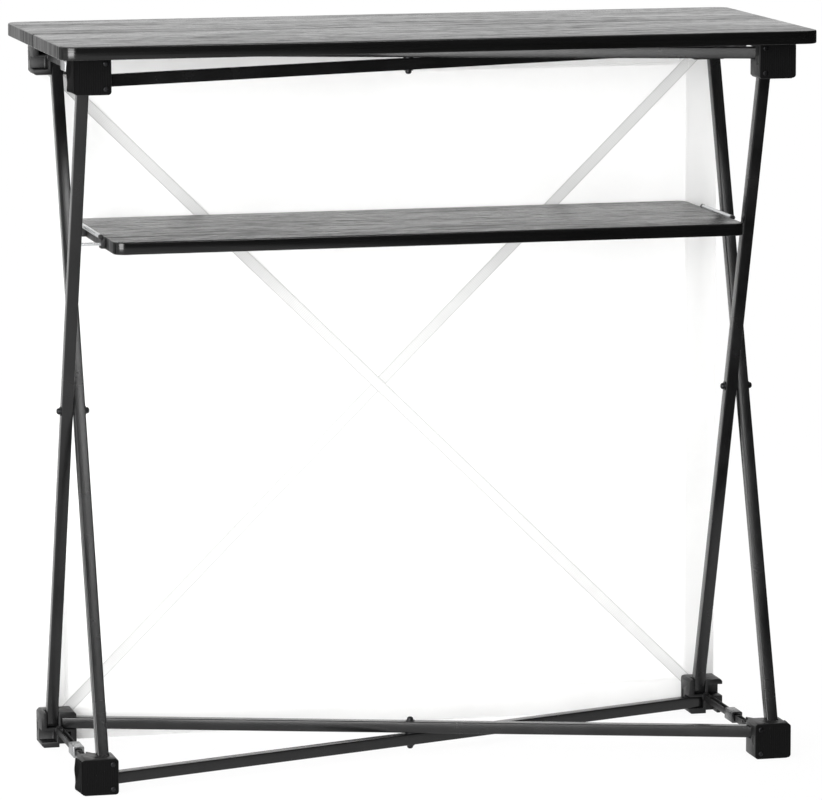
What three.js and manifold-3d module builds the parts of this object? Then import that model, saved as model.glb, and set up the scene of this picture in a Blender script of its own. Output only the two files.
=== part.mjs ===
// Folding portable bar: eight hubs and eight equal bars make a scissor frame that carries a two-plank worktop,
// a shelf and a cloth cover. Millimetres, Z up, origin on the floor at the centre.
import * as THREE from "three";
import { mergeVertices } from "three/addons/utils/BufferGeometryUtils.js";
import Module from "manifold-3d";

// Frame
const hubPitch = 950;
const pivotGap = 300;
const tubeSize = 16;
const tubeWall = 1.5;
const tubeRadius = 1.6;
const tubeOverrun = 8;
const crossGap = 1.4;

// Hubs
const hubSize = 50;
const hubChamfer = 4;
const hubInner = 11;
const hubOuter = 32;
const pivotReach = 15;
const pinRadius = 2.5;
const pinClear = 0.1;
const pocketSide = 0.3;
const pocketSwing = 0.5;
const keySlotLength = 12;
const keySlotWidth = 5;
const keySlotDepth = 3;
const keySlotFromPivot = 22;
const bossRadius = 6.5;
const bossHeight = 3;
const bossRoot = 0.5;

// Hook-tape pads
const padThickness = 2;
const padMargin = 1;
const padWrap = 38;
const padCorner = 4;
const screwRadius = 3.5;
const screwProud = 1.2;
const screwSpacing = 34;
const screwInset = 7;

// Centre bolts
const boltRadius = 3;
const boltHeadRadius = 4.5;
const boltHeadHeight = 6;
const boltSpacerRadius = 7;
const slipGap = 0.15;

// Lock arms, along Y at the hub centres
const armSize = 9;
const armGroove = 4;
const armGrooveDepth = 3;
const sleeveFront = -15;
const sleeveBack = 20;
const sleeveWall = 3.5;
const sleeveClear = 0.3;
const channelFront = 5;
const tongueClear = 2;
const leverFront = -70;
const leverBack = -40;
const leverReach = 14;
const leverThickness = 4;
const leverRise = 2;

// Worktop
const topLength = 1048;
const topDepth = 444;
const topThickness = 18;
const topCorner = 21;
const seamCorner = 4;
const seamGap = 1;
const edgeRound = 1.5;

// Butt hinges under the worktop
const hingeX = 300;
const hingeLength = 64;
const hingeWidth = 22;
const hingePlate = 1.6;
const hingePinRadius = 1.6;
const knuckleRadius = 3.2;
const knuckleCount = 5;
const knuckleGap = 0.3;

// Shelf
const shelfLength = 876;
const shelfDepth = 298;
const shelfThickness = 17;
const shelfTopZ = 748;
const shelfCorner = 15;
const railRadius = 4.25;
const railWall = 1;
const railLength = 134;
const railRise = 6.5;
const bracketDepth = 18;
const bracketWidth = 10;
const bracketTop = 4;
const bracketY = 70;
const bracketDrop = 0.8;
const seatClear = 0.1;
const studRadius = 3;
const studTip = 2;

// Cloth cover
const coverWidth = 1000;
const coverBottom = 1;
const coverTop = 985;
const coverThickness = 1.2;
const hemWidth = 45;
const hemThickness = 0.8;
const strapWidth = 15.5;
const strapGap = 0.3;

// Worked out from the sizes above
const halfPitch = hubPitch / 2;
const halfHub = hubSize / 2;
const halfTube = tubeSize / 2;
const barOffset = (tubeSize + crossGap) / 2;
const bottomZ = halfHub;
const topZ = bottomZ + hubPitch;
const middleZ = (bottomZ + topZ) / 2;
const pivotY = pivotGap / 2;
const pivotSpan = hubPitch - 2 * pivotReach;
const barSpan = Math.hypot(pivotSpan, pivotGap);
const barSin = pivotGap / barSpan;
const barCos = pivotSpan / barSpan;
const swingRadius = Math.hypot(halfTube, tubeOverrun) + pocketSwing;
const worktopZ = topZ + halfHub;
const shelfBottomZ = shelfTopZ - shelfThickness;
const bracketBottomZ = shelfBottomZ - bracketDrop;
const studZ = bracketBottomZ - studRadius;

const wasm = await Module();
wasm.setup();

const roundSides = 12;
const finish = {
  moulded: { color: 0x1b1b1d, roughness: 0.6 },
  hookTape: { color: 0x101011, roughness: 0.95 },
  blackTube: { color: 0x2a2a2c, roughness: 0.4, metalness: 0.4 },
  bright: { color: 0xc8cacc, roughness: 0.3, metalness: 0.9 },
  steel: { color: 0x8f9194, roughness: 0.4, metalness: 0.9 },
  laminate: { color: 0xa8a6a3, roughness: 0.45 },
  cloth: { color: 0xf4f4f2, roughness: 0.9 },
  webbing: { color: 0xe6e6e3, roughness: 0.9 },
};

function solidOf(geometry) {
  const plain = geometry.index ? geometry.toNonIndexed() : geometry;
  plain.deleteAttribute("normal");
  plain.deleteAttribute("uv");
  const merged = mergeVertices(plain, 1e-4);
  return new wasm.Manifold(
    new wasm.Mesh({
      numProp: 3,
      vertProperties: merged.attributes.position.array,
      triVerts: new Uint32Array(merged.index.array),
    }),
  );
}

function box(xs, ys, zs) {
  const [x0, x1] = [Math.min(...xs), Math.max(...xs)];
  const [y0, y1] = [Math.min(...ys), Math.max(...ys)];
  const [z0, z1] = [Math.min(...zs), Math.max(...zs)];
  const geometry = new THREE.BoxGeometry(x1 - x0, y1 - y0, z1 - z0);
  geometry.translate((x0 + x1) / 2, (y0 + y1) / 2, (z0 + z1) / 2);
  return solidOf(geometry);
}

function rod(axis, span, radius, at, sides = roundSides) {
  const geometry = new THREE.CylinderGeometry(radius, radius, span[1] - span[0], sides);
  const middle = (span[0] + span[1]) / 2;
  if (axis === "x") {
    geometry.rotateZ(-Math.PI / 2);
    geometry.translate(middle, at[0], at[1]);
  }
  if (axis === "y") {
    geometry.translate(at[0], middle, at[1]);
  }
  if (axis === "z") {
    geometry.rotateX(Math.PI / 2);
    geometry.translate(at[0], at[1], middle);
  }
  return solidOf(geometry);
}

// A rectangle whose corners are rounded, in the order front-left, front-right, back-right, back-left.
function roundedRectangle(width, depth, radii) {
  const [x, y] = [width / 2, depth / 2];
  const [fl, fr, br, bl] = radii;
  const shape = new THREE.Shape();
  shape.moveTo(-x + fl, -y);
  shape.lineTo(x - fr, -y);
  shape.absarc(x - fr, -y + fr, fr, -Math.PI / 2, 0);
  shape.lineTo(x, y - br);
  shape.absarc(x - br, y - br, br, 0, Math.PI / 2);
  shape.lineTo(-x + bl, y);
  shape.absarc(-x + bl, y - bl, bl, Math.PI / 2, Math.PI);
  shape.lineTo(-x, -y + fl);
  shape.absarc(-x + fl, -y + fl, fl, Math.PI, Math.PI * 1.5);
  return shape;
}

function extruded(shape, depth, curveSegments) {
  return new THREE.ExtrudeGeometry(shape, { depth, bevelEnabled: false, curveSegments });
}

// A board lying flat with its underside at Z 0 and its long edges eased.
function easedBoard(width, depth, thickness, radii) {
  const inner = radii.map((radius) => radius - edgeRound);
  const shape = roundedRectangle(width - 2 * edgeRound, depth - 2 * edgeRound, inner);
  const geometry = new THREE.ExtrudeGeometry(shape, {
    depth: thickness - 2 * edgeRound,
    bevelThickness: edgeRound,
    bevelSize: edgeRound,
    bevelSegments: 2,
    curveSegments: 5,
  });
  geometry.translate(0, 0, edgeRound);
  return geometry;
}

const bar = new THREE.Group();
bar.name = "folding_portable_bar";

function addPiece(name, solid, look) {
  const built = solid.getMesh();
  const geometry = new THREE.BufferGeometry();
  geometry.setAttribute("position", new THREE.BufferAttribute(built.vertProperties, 3));
  geometry.setIndex(new THREE.BufferAttribute(built.triVerts, 1));
  geometry.computeVertexNormals();
  const mesh = new THREE.Mesh(geometry, new THREE.MeshStandardMaterial(finish[look]));
  mesh.name = name;
  bar.add(mesh);
}

// Hub with its pivot plane at Y 0 and its closed face towards +Y. Pocket 0 opens upwards, and each next one
// is the same pocket turned a quarter clockwise, seen from the open side.
function pocket(quarter) {
  const half = halfTube + pocketSide;
  const cut = box(
    [-barOffset - half, -barOffset + half],
    [-hubInner - 1, swingRadius],
    [pivotReach - swingRadius, halfHub + 1],
  );
  return cut.rotate([0, quarter * 90, 0]);
}

function keySlot(quarter) {
  const cut = box(
    [-keySlotLength / 2, keySlotLength / 2],
    [keySlotFromPivot - keySlotWidth / 2, keySlotFromPivot + keySlotWidth / 2],
    [halfHub - keySlotDepth, halfHub + 1],
  );
  return cut.rotate([0, quarter * 90, 0]);
}

function hingePin(quarter) {
  const half = halfTube + pocketSide + 1;
  const pin = rod("x", [-barOffset - half, -barOffset + half], pinRadius, [0, pivotReach]);
  return pin.rotate([0, quarter * 90, 0]);
}

function hubSolid(usedQuarters) {
  const corner = halfHub - hubChamfer;
  const outline = new THREE.Shape([
    new THREE.Vector2(-corner, -halfHub),
    new THREE.Vector2(corner, -halfHub),
    new THREE.Vector2(halfHub, -corner),
    new THREE.Vector2(halfHub, corner),
    new THREE.Vector2(corner, halfHub),
    new THREE.Vector2(-corner, halfHub),
    new THREE.Vector2(-halfHub, corner),
    new THREE.Vector2(-halfHub, -corner),
  ]);
  const block = extruded(outline, hubInner + hubOuter, 1);
  block.rotateX(-Math.PI / 2);
  block.translate(0, -hubInner, 0);
  let hub = solidOf(block);
  for (const quarter of [0, 1, 2, 3]) {
    hub = hub.subtract(pocket(quarter));
    hub = hub.subtract(keySlot(quarter));
  }
  for (const quarter of usedQuarters) {
    hub = hub.add(hingePin(quarter));
  }
  return hub.add(rod("y", [-hubInner - bossHeight, bossRoot - hubInner], bossRadius, [0, 0]));
}

// Pad on the closed face. A front hub's pad is wrapped round its outer end. outward is -1 or 1 along X.
function padSolid(outward, wrapped) {
  const height = hubSize - 2 * padMargin;
  const inner = -outward * (halfHub - padMargin);
  const outer = wrapped ? outward * (halfHub + padThickness) : -inner;
  const radii = [padCorner, padCorner, padCorner, padCorner];
  const face = extruded(roundedRectangle(Math.abs(outer - inner), height, radii), padThickness, 3);
  face.rotateX(-Math.PI / 2);
  face.translate((inner + outer) / 2, hubOuter, 0);
  let pad = solidOf(face);
  if (wrapped) {
    const side = extruded(roundedRectangle(padWrap, height, radii), padThickness, 3);
    side.rotateX(-Math.PI / 2);
    side.rotateZ(-Math.PI / 2);
    side.translate(outward > 0 ? halfHub : -halfHub - padThickness, hubOuter + padThickness - padWrap / 2, 0);
    pad = pad.add(solidOf(side));
  }
  for (const z of [-screwSpacing / 2, screwSpacing / 2]) {
    const at = [inner + outward * screwInset, z];
    const span = [hubOuter + padThickness / 2, hubOuter + padThickness + screwProud];
    pad = pad.add(rod("y", span, screwRadius, at, 12));
  }
  return pad;
}

// Square tube along X, drilled across Z at both ends and the middle.
function barSolid() {
  const radii = [tubeRadius, tubeRadius, tubeRadius, tubeRadius];
  const section = roundedRectangle(tubeSize, tubeSize, radii);
  const bore = halfTube - tubeWall;
  section.holes.push(
    new THREE.Path([
      new THREE.Vector2(-bore, -bore),
      new THREE.Vector2(-bore, bore),
      new THREE.Vector2(bore, bore),
      new THREE.Vector2(bore, -bore),
    ]),
  );
  const length = barSpan + 2 * tubeOverrun;
  const tube = extruded(section, length, 3);
  tube.translate(0, 0, -length / 2);
  tube.rotateY(Math.PI / 2);
  let made = solidOf(tube);
  const across = [-halfTube - 1, halfTube + 1];
  for (const x of [-barSpan / 2, barSpan / 2]) {
    made = made.subtract(rod("z", across, pinRadius + pinClear, [x, 0]));
  }
  return made.subtract(rod("z", across, boltRadius + pinClear, [0, 0]));
}

// Stud that stands out of an end bar, under the shelf, given in the bar's own frame.
function studSolid(along, from, to) {
  const span = [Math.min(from, to), Math.max(from, to)];
  return rod("z", span, studRadius, [along, 0], 12);
}

function placed(solid, alongX, alongZ, centre) {
  const ex = new THREE.Vector3(...alongX).normalize();
  const ez = new THREE.Vector3(...alongZ).normalize();
  const ey = new THREE.Vector3().crossVectors(ez, ex);
  const matrix = new THREE.Matrix4().makeBasis(ex, ey, ez);
  matrix.setPosition(...centre);
  return solid.transform(matrix.elements);
}

// Bolt through two bars that cross, along Z, with a spacer between them and a domed head on each side.
function boltSolid() {
  const face = barOffset + halfTube + slipGap;
  let bolt = rod("z", [-face - 1, face + 1], boltRadius, [0, 0]);
  bolt = bolt.add(rod("z", [-crossGap / 2 + slipGap, crossGap / 2 - slipGap], boltSpacerRadius, [0, 0]));
  const dome = new THREE.CylinderGeometry(boltHeadRadius * 0.6, boltHeadRadius, boltHeadHeight, roundSides);
  dome.rotateX(Math.PI / 2);
  dome.translate(0, 0, face + boltHeadHeight / 2);
  const head = solidOf(dome);
  return bolt.add(head).add(head.mirror([0, 0, 1]));
}

// Lock arm pieces, about the hub centre line, in the part's own Y.
const armEnd = pivotY - hubInner - bossHeight;
const halfArm = armSize / 2;

function channelSolid() {
  const body = box([-halfArm, halfArm], [channelFront, armEnd], [-halfArm, halfArm]);
  const groove = box(
    [-armGroove / 2, armGroove / 2],
    [channelFront - 1, armEnd - armSize],
    [halfArm - armGrooveDepth, halfArm + 1],
  );
  return body.subtract(groove);
}

function sleeveSolid() {
  const outer = halfArm + sleeveWall;
  const radii = [2, 2, 2, 2];
  const block = extruded(roundedRectangle(2 * outer, 2 * outer, radii), sleeveBack - sleeveFront, 2);
  block.rotateX(-Math.PI / 2);
  block.translate(0, sleeveFront, 0);
  const ys = [sleeveFront - 1, channelFront];
  const wide = halfArm + sleeveClear;
  const front = box([-wide, wide], ys, [-wide, wide]);
  const back = box([-halfArm, halfArm], [channelFront - 1, sleeveBack + 1], [-halfArm, halfArm]);
  return solidOf(block).subtract(front).subtract(back);
}

function catchSolid() {
  return box([-halfArm, halfArm], [-armEnd, channelFront - tongueClear], [-halfArm, halfArm]);
}

function leverSolid() {
  const shape = new THREE.Shape([
    new THREE.Vector2(halfArm + slipGap, leverFront),
    new THREE.Vector2(leverReach, leverFront + (leverBack - leverFront) * 0.7),
    new THREE.Vector2(leverReach, leverFront + (leverBack - leverFront) * 0.8),
    new THREE.Vector2(halfArm + slipGap, leverBack),
  ]);
  const wedge = extruded(shape, leverThickness, 1);
  wedge.translate(0, 0, leverRise);
  return solidOf(wedge);
}

// Worktop: the front plank is at negative Y; the seam runs along X at Y 0.
function plankSolid(side) {
  const depth = (topDepth - seamGap) / 2;
  const outer = [topCorner, topCorner, seamCorner, seamCorner];
  const geometry = easedBoard(topLength, depth, topThickness, outer);
  if (side > 0) {
    geometry.rotateZ(Math.PI);
  }
  geometry.translate(0, (side * (topDepth + seamGap)) / 4, worktopZ);
  return solidOf(geometry);
}

// Half of a butt hinge: a plate under one plank and every other knuckle. The front half keeps the pin.
const hingeAxisZ = worktopZ - knuckleRadius;

function hingeSolid(side) {
  const start = -hingeLength / 2;
  const step = hingeLength / knuckleCount;
  const first = side < 0 ? 0 : 1;
  const clear = knuckleRadius + knuckleGap;
  const plateZ = [worktopZ - hingePlate, worktopZ];
  let half = box([start, -start], [side * clear, side * hingeWidth], plateZ);
  for (let index = 0; index < knuckleCount; index += 1) {
    const from = start + index * step + knuckleGap / 2;
    const to = start + (index + 1) * step - knuckleGap / 2;
    if (index % 2 === first) {
      const tab = box([from, to], [0, side * (clear + 1)], plateZ);
      half = half.add(rod("x", [from, to], knuckleRadius, [0, hingeAxisZ]).add(tab));
    }
  }
  if (side < 0) {
    return half.add(rod("x", [start + 1, -start - 1], hingePinRadius, [0, hingeAxisZ]));
  }
  return half.subtract(rod("x", [start - 1, 1 - start], hingePinRadius + pinClear, [0, hingeAxisZ]));
}

// Shelf pieces
const shelfEnd = shelfLength / 2;
const railX = shelfEnd + railRadius;
const railZ = shelfTopZ - railRise + railRadius;

function shelfSolid() {
  const radii = [shelfCorner, shelfCorner, shelfCorner, shelfCorner];
  const board = easedBoard(shelfLength, shelfDepth, shelfThickness, radii);
  board.translate(0, 0, shelfBottomZ);
  return solidOf(board);
}

function railSolid(side) {
  const ends = [-railLength / 2, railLength / 2];
  const at = [side * railX, railZ];
  const tube = rod("y", ends, railRadius, at);
  return tube.subtract(rod("y", [ends[0] - 1, ends[1] + 1], railRadius - railWall, at));
}

function bracketSolid(side, end) {
  const ys = [end * (bracketY - bracketDepth / 2), end * (bracketY + bracketDepth / 2)];
  const xs = [side * shelfEnd, side * (shelfEnd + bracketWidth)];
  const block = box(xs, ys, [bracketBottomZ, railZ + bracketTop]);
  const reach = [-railLength / 2 - seatClear, railLength / 2 + seatClear];
  const seat = rod("y", reach, railRadius + seatClear, [side * railX, railZ]);
  const open = box(
    [side * shelfEnd - 1, side * (shelfEnd + bracketWidth) + side],
    reach,
    [railZ, railZ + bracketTop + 1],
  );
  return block.subtract(seat).subtract(open);
}

// Cloth cover behind the back pads
const coverFaceY = pivotY + hubOuter + padThickness + screwProud;

function coverSolid() {
  const half = coverWidth / 2;
  const panelY = [coverFaceY + hemThickness, coverFaceY + hemThickness + coverThickness];
  const hemY = [coverFaceY, coverFaceY + hemThickness];
  const whole = box([-half, half], hemY, [coverBottom, coverTop]);
  const window = box(
    [-half + hemWidth, half - hemWidth],
    [hemY[0] - 1, hemY[1] + 1],
    [coverBottom + hemWidth, coverTop - hemWidth],
  );
  return box([-half, half], panelY, [coverBottom, coverTop]).add(whole.subtract(window));
}

function strapSolid() {
  const halfX = coverWidth / 2 - hemWidth - strapGap;
  const zs = [coverBottom + hemWidth + strapGap, coverTop - hemWidth - strapGap];
  const halfZ = (zs[1] - zs[0]) / 2;
  const ys = [coverFaceY, coverFaceY + hemThickness];
  const length = 2 * Math.hypot(halfX, halfZ);
  const strap = box([-length / 2, length / 2], ys, [-strapWidth / 2, strapWidth / 2]);
  const slope = (Math.atan2(halfZ, halfX) * 180) / Math.PI;
  const cross = strap.rotate([0, slope, 0]).add(strap.rotate([0, -slope, 0]));
  return cross.translate([0, 0, (zs[0] + zs[1]) / 2]).intersect(box([-halfX, halfX], ys, zs));
}

// Hubs and pads. A front hub is a back hub turned half round, so its left and right pockets change places.
const levels = { bottom: { z: bottomZ, upright: 0 }, top: { z: topZ, upright: 2 } };
const faces = { front: { side: -1, turn: 180 }, back: { side: 1, turn: 0 } };
const ends = { left: -1, right: 1 };

for (const [level, { z, upright }] of Object.entries(levels)) {
  for (const [face, { side, turn }] of Object.entries(faces)) {
    for (const [end, outward] of Object.entries(ends)) {
      const inward = outward * side < 0 ? 1 : 3;
      const at = [outward * halfPitch, side * pivotY, z];
      const name = `${level}_${face}_${end}`;
      addPiece(`hub_${name}`, hubSolid([upright, inward]).rotate([0, 0, turn]).translate(at), "moulded");
      addPiece(`pad_${name}`, padSolid(outward * side, side < 0).rotate([0, 0, turn]).translate(at), "hookTape");
    }
  }
}

// Long bars, crossing at the top and the bottom
for (const [level, { z }] of Object.entries(levels)) {
  const lower = placed(barSolid(), [barCos, barSin, 0], [0, 0, 1], [0, 0, z - barOffset]);
  const upper = placed(barSolid(), [barCos, -barSin, 0], [0, 0, 1], [0, 0, z + barOffset]);
  addPiece(`bar_${level}_lower`, lower, "blackTube");
  addPiece(`bar_${level}_upper`, upper, "blackTube");
  addPiece(`bolt_${level}`, boltSolid().translate([0, 0, z]), "bright");
}

// End bars, crossing at the left and the right, with a stud each for the shelf
const studAlong = (studZ - middleZ) / barCos;

for (const [end, outward] of Object.entries(ends)) {
  for (const [place, shift] of [["inner", -1], ["outer", 1]]) {
    const x = outward * (halfPitch + shift * barOffset);
    const lean = outward * shift;
    const reach = outward * (shelfEnd + studTip) - x;
    const stud = studSolid(studAlong, -outward * (halfTube - tubeWall), reach);
    const leg = placed(barSolid().add(stud), [0, lean * barSin, barCos], [1, 0, 0], [x, 0, middleZ]);
    addPiece(`leg_${end}_${place}`, leg, "blackTube");
  }
  const bolt = boltSolid().rotate([0, 90, 0]).translate([outward * halfPitch, 0, middleZ]);
  addPiece(`bolt_${end}`, bolt, "bright");
}

// Lock arms
for (const [level, { z }] of Object.entries(levels)) {
  for (const [end, outward] of Object.entries(ends)) {
    const at = [outward * halfPitch, 0, z];
    const name = `lock_${level}_${end}`;
    addPiece(`${name}_channel`, channelSolid().translate(at), "moulded");
    addPiece(`${name}_sleeve`, sleeveSolid().translate(at), "bright");
    addPiece(`${name}_catch`, catchSolid().translate(at), "moulded");
    addPiece(`${name}_lever`, leverSolid().translate(at), "moulded");
  }
}

addPiece("top_front_plank", plankSolid(-1), "laminate");
addPiece("top_rear_plank", plankSolid(1), "laminate");

for (const [end, outward] of Object.entries(ends)) {
  const at = [outward * hingeX, 0, 0];
  addPiece(`hinge_${end}_front`, hingeSolid(-1).translate(at), "steel");
  addPiece(`hinge_${end}_rear`, hingeSolid(1).translate(at), "steel");
}

addPiece("shelf_board", shelfSolid(), "laminate");

for (const [end, outward] of Object.entries(ends)) {
  addPiece(`shelf_rail_${end}`, railSolid(outward), "bright");
  for (const [face, { side }] of Object.entries(faces)) {
    addPiece(`shelf_bracket_${end}_${face}`, bracketSolid(outward, side), "moulded");
  }
}

addPiece("cover_panel", coverSolid(), "cloth");
addPiece("cover_straps", strapSolid(), "webbing");

export default bar;
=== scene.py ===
import math
import bpy
from mathutils import Matrix, Vector


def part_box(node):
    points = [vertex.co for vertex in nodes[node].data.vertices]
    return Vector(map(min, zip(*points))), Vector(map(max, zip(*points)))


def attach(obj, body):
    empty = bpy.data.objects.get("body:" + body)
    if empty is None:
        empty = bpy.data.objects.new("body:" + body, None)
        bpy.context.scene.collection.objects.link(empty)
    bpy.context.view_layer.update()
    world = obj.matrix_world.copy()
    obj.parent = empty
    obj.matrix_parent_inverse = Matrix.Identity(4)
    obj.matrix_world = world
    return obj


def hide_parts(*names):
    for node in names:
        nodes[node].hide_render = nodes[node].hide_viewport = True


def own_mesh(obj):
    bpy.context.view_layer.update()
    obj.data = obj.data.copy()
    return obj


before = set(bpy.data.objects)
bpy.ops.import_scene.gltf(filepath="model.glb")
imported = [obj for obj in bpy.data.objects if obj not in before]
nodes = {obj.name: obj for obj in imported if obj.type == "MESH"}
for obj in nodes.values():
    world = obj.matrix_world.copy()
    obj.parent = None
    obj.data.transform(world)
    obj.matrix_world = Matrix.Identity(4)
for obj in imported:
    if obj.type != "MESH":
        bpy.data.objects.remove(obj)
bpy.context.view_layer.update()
print("frame loaded:", len(nodes), "solids")

levels = {"bottom": 0.025, "top": 0.975}
faceSides = {"front": -1, "back": 1}
endSides = {"left": -1, "right": 1}
halfPitch = 0.475   # hub centres either side of the middle
pivotY = 0.150      # pivot plane of a hub
middleZ = 0.5
barOffset = 0.0087  # bars of a cross lie this far either side of its middle
pinSpan = 0.920     # between a bar's two pins, along the cross
barTurn = math.atan2(2 * pivotY, pinSpan)
barSlope = 2 * pivotY / pinSpan


# modelling helpers
picking = {"straight": 0.999, "near": 1e-5, "facing": 0.9}   # how closely an edge or a face has to fit
softAngle = 35      # edges sharper than this are eased


def clearSelection():
    if bpy.context.object and bpy.context.object.mode != "OBJECT":
        bpy.ops.object.mode_set(mode="OBJECT")
    bpy.ops.object.select_all(action="DESELECT")


def makeActive(piece):
    clearSelection()
    piece.select_set(True)
    bpy.context.view_layer.objects.active = piece


def settle(piece, name):
    bpy.ops.object.transform_apply(location=True, rotation=True, scale=True)
    piece.name = name
    return piece


def startBlock(name, low, high):
    clearSelection()
    middle = [(a + b) / 2 for a, b in zip(low, high)]
    bpy.ops.mesh.primitive_cube_add(size=1, location=middle)
    piece = bpy.context.active_object
    piece.scale = [b - a for a, b in zip(low, high)]
    return settle(piece, name)


def startRound(name, radius, start, end, sides=32):
    clearSelection()
    a, b = Vector(start), Vector(end)
    bpy.ops.mesh.primitive_cylinder_add(vertices=sides, radius=radius, depth=(b - a).length,
                                        location=(a + b) / 2)
    piece = bpy.context.active_object
    piece.rotation_mode = "QUATERNION"
    piece.rotation_quaternion = (b - a).to_track_quat("Z", "Y")
    return settle(piece, name)


def startPicking(piece, kind):
    makeActive(piece)
    bpy.ops.object.mode_set(mode="EDIT")
    bpy.ops.mesh.select_mode(type=kind)
    bpy.ops.mesh.select_all(action="DESELECT")
    bpy.ops.object.mode_set(mode="OBJECT")


def pickEdges(piece, wanted):
    startPicking(piece, "EDGE")
    points = piece.data.vertices
    for edge in piece.data.edges:
        a, b = (points[i].co for i in edge.vertices)
        edge.select = bool(wanted(a, b))
    bpy.ops.object.mode_set(mode="EDIT")


def pickFaces(piece, wanted):
    startPicking(piece, "FACE")
    for face in piece.data.polygons:
        face.select = bool(wanted(face.normal))
    bpy.ops.object.mode_set(mode="EDIT")


def runsAlong(a, b, axis):      # an edge parallel to "x", "y" or "z"
    return abs(getattr((b - a).normalized(), axis)) > picking["straight"]


def liesAt(a, b, axis, place):  # an edge with both ends at one place on an axis
    return all(abs(getattr(point, axis) - place) < picking["near"] for point in (a, b))


def roundEdges(piece, wanted, width, segments=4):
    pickEdges(piece, wanted)
    bpy.ops.mesh.bevel(offset=width, segments=segments, profile=0.5, affect="EDGES")
    bpy.ops.object.mode_set(mode="OBJECT")


def hollowEnds(piece, axis, wall, depth):
    for sign in (-1, 1):
        outward = Vector([sign * (name == axis) for name in "xyz"])
        pickFaces(piece, lambda normal: normal.dot(outward) > picking["facing"])
        bpy.ops.mesh.inset(thickness=wall)
        bpy.ops.mesh.extrude_region_move(TRANSFORM_OT_translate={"value": -depth * outward})
        bpy.ops.object.mode_set(mode="OBJECT")


def runModifier(piece, kind, **settings):
    makeActive(piece)
    step = piece.modifiers.new(kind.lower(), kind)
    for key, value in settings.items():
        setattr(step, key, value)
    bpy.ops.object.modifier_apply(modifier=step.name)


def shadeSoft(piece, angle=40):
    makeActive(piece)
    bpy.ops.object.shade_smooth_by_angle(angle=math.radians(angle))


def softenEdges(piece, width, segments=2):
    runModifier(piece, "BEVEL", width=width, segments=segments, limit_method="ANGLE",
                angle_limit=math.radians(softAngle))
    shadeSoft(piece)


def arrayAlong(piece, count, step):
    runModifier(piece, "ARRAY", count=count, use_relative_offset=False, use_constant_offset=True,
                constant_offset_displace=step)


def cutAway(piece, *cutters):
    for cutter in cutters:
        runModifier(piece, "BOOLEAN", operation="DIFFERENCE", object=cutter, solver="EXACT")
        bpy.data.objects.remove(cutter)


def joinTo(piece, *others):
    makeActive(piece)
    for other in others:
        other.select_set(True)
    bpy.ops.object.join()
    return piece


def copyTo(piece, name, matrix):
    twin = piece.copy()
    twin.data = piece.data.copy()
    twin.data.transform(matrix)
    if matrix.determinant() < 0:
        twin.data.flip_normals()
    twin.name = name
    bpy.context.scene.collection.objects.link(twin)
    return twin


def placePiece(piece, body, slotName, finish, *replaced):
    if finish is not None:
        piece.data.materials.clear()
        piece.data.materials.append(finish)
    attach(piece, body)
    if replaced:
        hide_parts(*replaced)


def turnAbout(axis, degrees, place=(0, 0, 0)):
    return Matrix.Translation(place) @ Matrix.Rotation(math.radians(degrees), 4, axis)


# finishes: a noise is given as scale, detail and roughness, a bump as strength and depth

def newFinish(name, specular=0.5, **sockets):
    finish = bpy.data.materials.new(name)
    finish.use_nodes = True
    shader = finish.node_tree.nodes["Principled BSDF"]
    shader.inputs["Specular IOR Level"].default_value = specular
    for key, value in sockets.items():
        shader.inputs[key].default_value = value
    return finish, finish.node_tree, shader


def addNode(tree, kind, **settings):
    node = tree.nodes.new(kind)
    for key, value in settings.items():
        if key in node.inputs:
            node.inputs[key].default_value = value
        else:
            setattr(node, key, value)
    return node


def feed(shader, socket, output):
    shader.id_data.links.new(output, shader.inputs[socket])


def stretchedNoise(tree, scale, detail=4.0, rough=0.55):
    place = addNode(tree, "ShaderNodeTexCoord")
    stretch = addNode(tree, "ShaderNodeMapping", Scale=scale)
    noise = addNode(tree, "ShaderNodeTexNoise", Scale=1.0, Detail=detail, Roughness=rough)
    feed(stretch, "Vector", place.outputs["Object"])
    feed(noise, "Vector", stretch.outputs["Vector"])
    return noise.outputs["Fac"]


def ramp(tree, fac, *stops):
    node = addNode(tree, "ShaderNodeValToRGB")
    bar = node.color_ramp
    while len(bar.elements) < len(stops):
        bar.elements.new(0.5)
    for element, (place, value) in zip(bar.elements, stops):
        element.position = place
        element.color = (*value, 1) if hasattr(value, "__len__") else (value, value, value, 1)
    feed(node, "Fac", fac)
    return node.outputs["Color"]


def bump(tree, shader, height, strength, distance):
    node = addNode(tree, "ShaderNodeBump", Strength=strength, Distance=distance)
    feed(node, "Height", height)
    feed(shader, "Normal", node.outputs["Normal"])
    return node


def mixed(tree, a, b, mode, fac=1.0):
    node = addNode(tree, "ShaderNodeMix", data_type="RGBA", blend_type=mode)
    node.inputs["Factor"].default_value = fac
    feed(node, "A", a)
    feed(node, "B", b)
    return node.outputs["Result"]


def blendShaders(tree, first, second, share=0.5, end="Material Output"):
    blend = addNode(tree, "ShaderNodeMixShader", Fac=share)
    feed(blend, 1, first.outputs[0])
    feed(blend, 2, second.outputs[0])
    feed(tree.nodes[end], "Surface", blend.outputs[0])
    return blend


mouldedLook = {"ior": 1.46, "specular": 0.35, "cloud": ((60, 60, 60), 5), "grain": ((1400, 1400, 1400), 3),
               "bump": (0.18, 0.0003)}


def makeMoulded(name, dark, light, rough):
    finish, tree, shader = newFinish(name, mouldedLook["specular"], IOR=mouldedLook["ior"])
    cloud = stretchedNoise(tree, *mouldedLook["cloud"])
    grain = stretchedNoise(tree, *mouldedLook["grain"])
    feed(shader, "Base Color", ramp(tree, cloud, (0.3, dark), (0.75, light)))
    feed(shader, "Roughness", ramp(tree, cloud, (0.3, rough[0]), (0.7, rough[1])))
    bump(tree, shader, grain, *mouldedLook["bump"])
    return finish


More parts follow.
